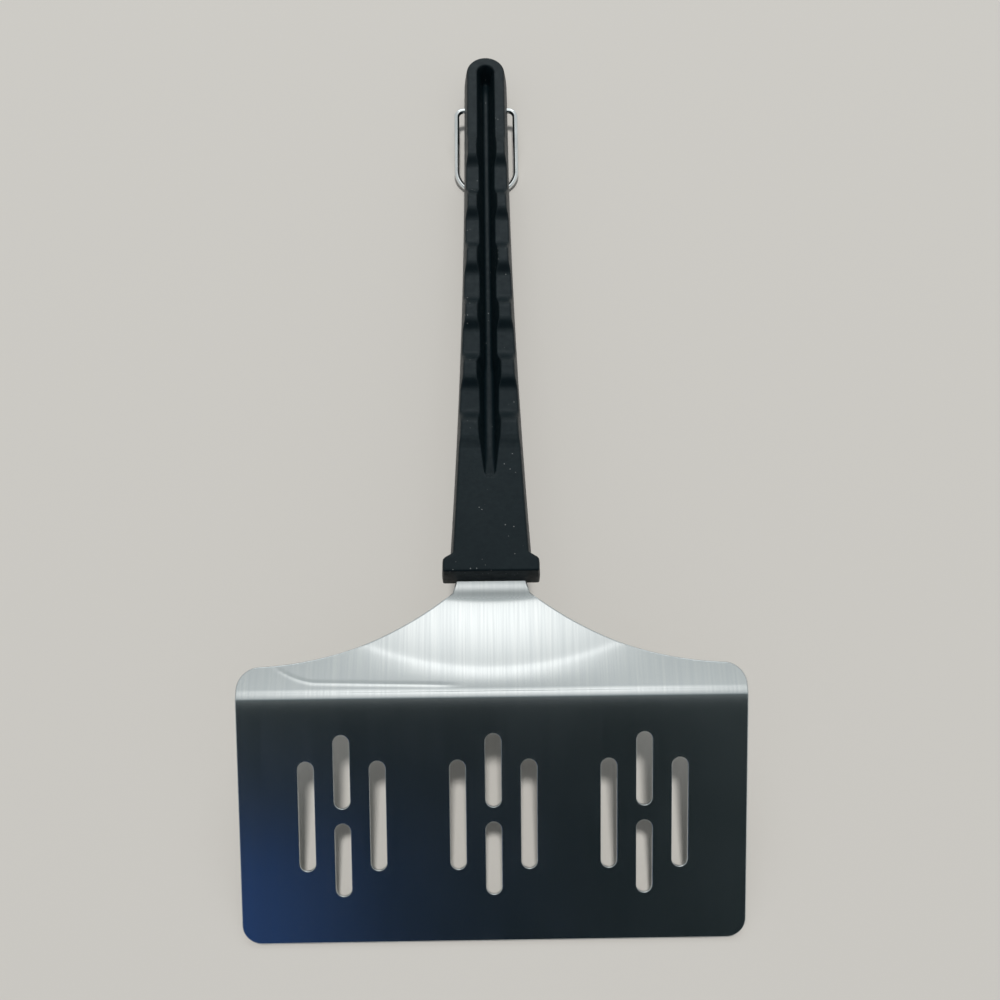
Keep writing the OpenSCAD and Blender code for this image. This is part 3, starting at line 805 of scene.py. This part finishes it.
def steel_material():
    mat, tree, bsdf = material("brushed_stainless")
    fine = noise(tree, cells=(1150, 26, 1), detail=0.6, dimensions="2D")
    wide = noise(tree, cells=(230, 9, 1), detail=1.0, dimensions="2D")
    cloud = noise(tree, cells=(28, 22, 22), detail=2.0)
    dust = specks(tree, cells=120.0, size=0.035, share=0.05, seed=3.1)
    shade = mix_colour(tree, spread(tree, wide, 0, 1), STEEL_DULL, STEEL_PALE)
    shade = mix_colour(tree, spread(tree, fine, 0, 0.6), shade, STEEL_LINE)
    tree.links.new(mix_colour(tree, dust, shade, STEEL_DUST), bsdf.inputs["Base Color"])
    scuffed = soft_step(tree, object_axes(tree)[1], NECK_START * MM, (NECK_START + SCUFF_LEN) * MM)
    scuffed = math_node(tree, "MULTIPLY", scuffed, SCUFF_ROUGH)
    rough = math_node(tree, "ADD", spread(tree, cloud, 0.22, 0.245), spread(tree, fine, -0.01, 0.015))
    rough = math_node(tree, "ADD", rough, scuffed)
    tree.links.new(rough, bsdf.inputs["Roughness"])
    tree.links.new(math_node(tree, "SUBTRACT", 1.0, dust), bsdf.inputs["Metallic"])
    # The brushing runs along the sheet
    bsdf.inputs["Anisotropic"].default_value = 0.62
    tangent = tree.nodes.new("ShaderNodeTangent")
    tangent.direction_type = "UV_MAP"
    tangent.uv_map = "flat"
    tree.links.new(tangent.outputs[0], bsdf.inputs["Tangent"])
    bump(tree, bsdf, [(fine, 0.05, 0.02)])
    return mat


def plastic_material():
    mat, tree, bsdf = material("grained_black_plastic")
    grain = noise(tree, cells=(900, 900, 900), detail=3.0, roughness=0.6)
    fleck = noise(tree, cells=(420, 420, 420), detail=2.0)
    cloud = noise(tree, cells=(45, 30, 45), detail=2.0)
    patch = noise(tree, cells=(70, 55, 70), detail=1.0)
    worn = specks(tree, cells=850.0, size=0.2, share=0.14, seed=1.7)
    worn = math_node(tree, "MULTIPLY", worn, spread(tree, patch, 0, 1, 0.56, 0.62))
    shade = mix_colour(tree, spread(tree, cloud, 0, 1), PLASTIC_DEEP, PLASTIC_PALE)
    shade = mix_colour(tree, spread(tree, fleck, 0, 0.7), shade, PLASTIC_FLECK)
    tree.links.new(mix_colour(tree, worn, shade, PLASTIC_WORN), bsdf.inputs["Base Color"])
    tree.links.new(spread(tree, fleck, 0.38, 0.48), bsdf.inputs["Roughness"])
    bsdf.inputs["Specular IOR Level"].default_value = 0.2
    bump(tree, bsdf, [(grain, 0.6, 0.06), (fleck, 0.5, 0.14)])
    return mat


def wire_material():
    mat, tree, bsdf = material("bright_wire")
    drawn = noise(tree, cells=(500, 60, 500), detail=2.0)
    shade = mix_colour(tree, spread(tree, drawn, 0, 1), WIRE_DULL, WIRE_BRIGHT)
    tree.links.new(shade, bsdf.inputs["Base Color"])
    tree.links.new(spread(tree, drawn, 0.12, 0.2), bsdf.inputs["Roughness"])
    bsdf.inputs["Metallic"].default_value = 1.0
    bump(tree, bsdf, [(drawn, 0.05, 0.03)])
    return mat


# ---------------------------------------------------------------- stage, in metres

FLOOR_REACH, FLOOR_COLOUR = 6.0, (0.62, 0.60, 0.565)
# What the camera and all that shines see of the world, and the world's light
SEEN = (0.60, 0.64, 0.64)
SKY_COLOUR, SKY_LIGHT = (0.92, 0.96, 1.0), 0.26
# The flag: half width, its two edges as [y, z], its dark middle, its sides and how far out they start,
# its soft edge towards the sky, and a cool patch, with the places where these two start and end
FLAG_REACH, FLAG_TOP, FLAG_FOOT = 1.6, (-0.30, 1.5), (-2.2, 0.35)
FLAG_DARK, FLAG_SIDE, FLAG_SIDE_AT = (0.0, 0.004, 0.004), (0.020, 0.030, 0.031), 0.5477
FLAG_SKY, FLAG_SKY_FROM, FLAG_SKY_TO = (0.44, 0.49, 0.50), -0.905, -0.58
FLAG_COOL, FLAG_COOL_X, FLAG_COOL_Y = (0.019, 0.072, 0.25), (-0.25, -0.43), (-1.11, -1.23)
# The card: height, half width, its two edges along Y, its glow, and the soft edges of the glow
CARD_Z, CARD_REACH, CARD_FRONT, CARD_BACK = 1.75, 0.8, -0.26, 0.6
CARD_GLOW, CARD_SIDE_FADE = (1.95, 1.96, 1.94), (0.62, 0.30)
CARD_FRONT_FADE, CARD_BACK_FADE = (-0.22, 0.16), (0.46, 0.28)
# The lamps
AIM = (0.0, -0.05, 0.03)
KEY_AT, KEY_POWER, KEY_ANGLE, KEY_COLOUR = (0.0, 0.42, 1.95), 2.05, 9, (1.0, 0.985, 0.96)
BACK_AT, BACK_POWER, BACK_SIZE, BACK_COLOUR = (0.0, 1.75, 1.45), 9.0, (1.7, 0.8), (0.9, 0.97, 1.0)


def plane(name, corners, mat):
    mesh = bpy.data.meshes.new(name)
    mesh.from_pydata(corners, [], [(0, 1, 2, 3)])
    mesh.materials.append(mat)
    obj = bpy.data.objects.new(name, mesh)
    bpy.context.scene.collection.objects.link(obj)
    return obj


def glowing(name, base):
    mat, tree, bsdf = material(name)
    bsdf.inputs["Base Color"].default_value = (*base, 1)
    bsdf.inputs["Roughness"].default_value = 1.0
    bsdf.inputs["Specular IOR Level"].default_value = 0.0
    bsdf.inputs["Emission Strength"].default_value = 1.0
    return mat, tree, bsdf.inputs["Emission Color"]


def only_mirrored(obj):
    """Only what shines sees it: it gives no light to the rest, takes none away and casts no shadow."""
    obj.visible_camera = obj.visible_diffuse = obj.visible_shadow = False


def make_floor():
    mat, _, bsdf = material("studio_floor")
    bsdf.inputs["Base Color"].default_value = (*FLOOR_COLOUR, 1)
    bsdf.inputs["Roughness"].default_value = 0.9
    bsdf.inputs["Specular IOR Level"].default_value = 0.1
    r = FLOOR_REACH
    plane("floor", [(-r, -r, 0), (r, -r, 0), (r, r, 0), (-r, r, 0)], mat)


def make_flag():
    """The dark flag behind the camera that the blade mirrors."""
    mat, tree, glow_socket = glowing("dark_flag", (0.01, 0.012, 0.014))
    across, along, _ = object_axes(tree)
    wide = math_node(tree, "MULTIPLY", across, across)
    wide = spread(tree, wide, 0, 1, 0.0, FLAG_SIDE_AT**2)
    high = spread(tree, along, 0, 1, FLAG_SKY_FROM, FLAG_SKY_TO)
    cool = math_node(tree, "MULTIPLY", soft_step(tree, across, *FLAG_COOL_X),
                     soft_step(tree, along, *FLAG_COOL_Y))
    glow = mix_colour(tree, wide, FLAG_DARK, FLAG_SIDE)
    glow = mix_colour(tree, high, glow, FLAG_SKY)
    tree.links.new(mix_colour(tree, cool, glow, FLAG_COOL), glow_socket)
    x = FLAG_REACH
    corners = [(-x, *FLAG_TOP), (x, *FLAG_TOP), (x, *FLAG_FOOT), (-x, *FLAG_FOOT)]
    only_mirrored(plane("flag", corners, mat))


def make_card():
    """The soft pale card overhead that the shoulder mirrors."""
    mat, tree, glow_socket = glowing("soft_card", (0.0, 0.0, 0.0))
    across, along, _ = object_axes(tree)
    glow = soft_step(tree, math_node(tree, "ABSOLUTE", across), *CARD_SIDE_FADE)
    for fade in (CARD_FRONT_FADE, CARD_BACK_FADE):
        glow = math_node(tree, "MULTIPLY", glow, soft_step(tree, along, *fade))
    tree.links.new(mix_colour(tree, glow, SEEN, CARD_GLOW), glow_socket)
    x, z = CARD_REACH, CARD_Z
    corners = [(-x, CARD_BACK, z), (x, CARD_BACK, z), (x, CARD_FRONT, z), (-x, CARD_FRONT, z)]
    only_mirrored(plane("card", corners, mat))


def background(tree, colour, strength):
    made = tree.nodes.new("ShaderNodeBackground")
    made.inputs["Color"].default_value = (*colour, 1)
    made.inputs["Strength"].default_value = strength
    return made.outputs[0]


def make_world():
    world = bpy.data.worlds.new("studio")
    bpy.context.scene.world = world
    world.use_nodes = True
    tree = world.node_tree
    tree.nodes.clear()
    path = tree.nodes.new("ShaderNodeLightPath")
    direct = math_node(tree, "MAXIMUM", path.outputs["Is Camera Ray"], path.outputs["Is Glossy Ray"])
    direct = math_node(tree, "MAXIMUM", direct, path.outputs["Is Transmission Ray"])
    mix = tree.nodes.new("ShaderNodeMixShader")
    tree.links.new(direct, mix.inputs[0])
    tree.links.new(background(tree, SKY_COLOUR, SKY_LIGHT), mix.inputs[1])
    tree.links.new(background(tree, SEEN, 1.0), mix.inputs[2])
    out = tree.nodes.new("ShaderNodeOutputWorld")
    tree.links.new(mix.outputs[0], out.inputs["Surface"])


def make_lamp(name, kind, place, power, colour):
    lamp = bpy.data.lights.new(name, kind)
    lamp.energy = power
    lamp.color = colour
    obj = bpy.data.objects.new(name, lamp)
    obj.location = place
    obj.rotation_euler = (Vector(AIM) - obj.location).to_track_quat("-Z", "Y").to_euler()
    bpy.context.scene.collection.objects.link(obj)
    return obj


def make_lamps():
    # The key gives light and shadow. What the steel mirrors overhead is the soft card.
    key = make_lamp("key", "SUN", KEY_AT, KEY_POWER, KEY_COLOUR)
    key.data.angle = math.radians(KEY_ANGLE)
    key.visible_glossy = False
    back = make_lamp("back", "AREA", BACK_AT, BACK_POWER, BACK_COLOUR)
    back.data.shape = "RECTANGLE"
    back.data.size, back.data.size_y = BACK_SIZE


# ---------------------------------------------------------------- camera

# The photo's camera: focal length, width of the picture and the point straight below it, in pixels, its
# turn about that point in radians, and its place in millimetres
FOCAL_PX, FRAME_PX, NADIR_PX = 1000.0, 1000.0, (491.32, 813.22)
YAW = 0.0109
BEHIND_FRONT_EDGE = 49.20
CAMERA_AT = (-0.93, FRONT_Y - MIDDLE_Y + BEHIND_FRONT_EDGE, 439.36)
SENSOR_W = 36.0


def make_camera():
    cam = bpy.data.cameras.new("camera")
    cam.sensor_fit = "HORIZONTAL"
    cam.sensor_width = SENSOR_W
    cam.lens = SENSOR_W * FOCAL_PX / FRAME_PX
    cam.clip_start, cam.clip_end = 0.01, 50.0
    obj = bpy.data.objects.new("camera", cam)
    # x, y and z are the part's axes in the picture's own: X to the right, Y down, Z into the picture
    half = FRAME_PX / 2
    down = Vector(((NADIR_PX[0] - half) / FOCAL_PX, (NADIR_PX[1] - half) / FOCAL_PX, 1)).normalized()
    z = -down
    up = Vector((0, -1, 0))
    y0 = (up - z * up.dot(z)).normalized()
    x0 = y0.cross(z)
    x = x0 * math.cos(YAW) + y0 * math.sin(YAW)
    y = -x0 * math.sin(YAW) + y0 * math.cos(YAW)
    right = Vector((x[0], y[0], z[0]))
    above = -Vector((x[1], y[1], z[1]))
    back = -Vector((x[2], y[2], z[2]))
    turned = Matrix((right, above, back)).transposed()
    obj.matrix_world = Matrix.Translation(Vector(CAMERA_AT) * MM) @ turned.to_4x4()
    bpy.context.scene.collection.objects.link(obj)
    bpy.context.scene.camera = obj


# ---------------------------------------------------------------- scene

make_camera()
make_floor()
make_flag()
make_world()
make_lamps()
make_card()
bpy.context.scene.view_settings.view_transform = "Standard"

blade = make_sheet()
blade.data.materials.append(steel_material())
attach(blade, "spatula")
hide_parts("blade")

handle = make_handle()
handle.data.materials.append(plastic_material())
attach(handle, "spatula")
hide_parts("handle")

loop = make_loop()
loop.data.materials.append(wire_material())
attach(loop, "loop")
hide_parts("hang_loop")
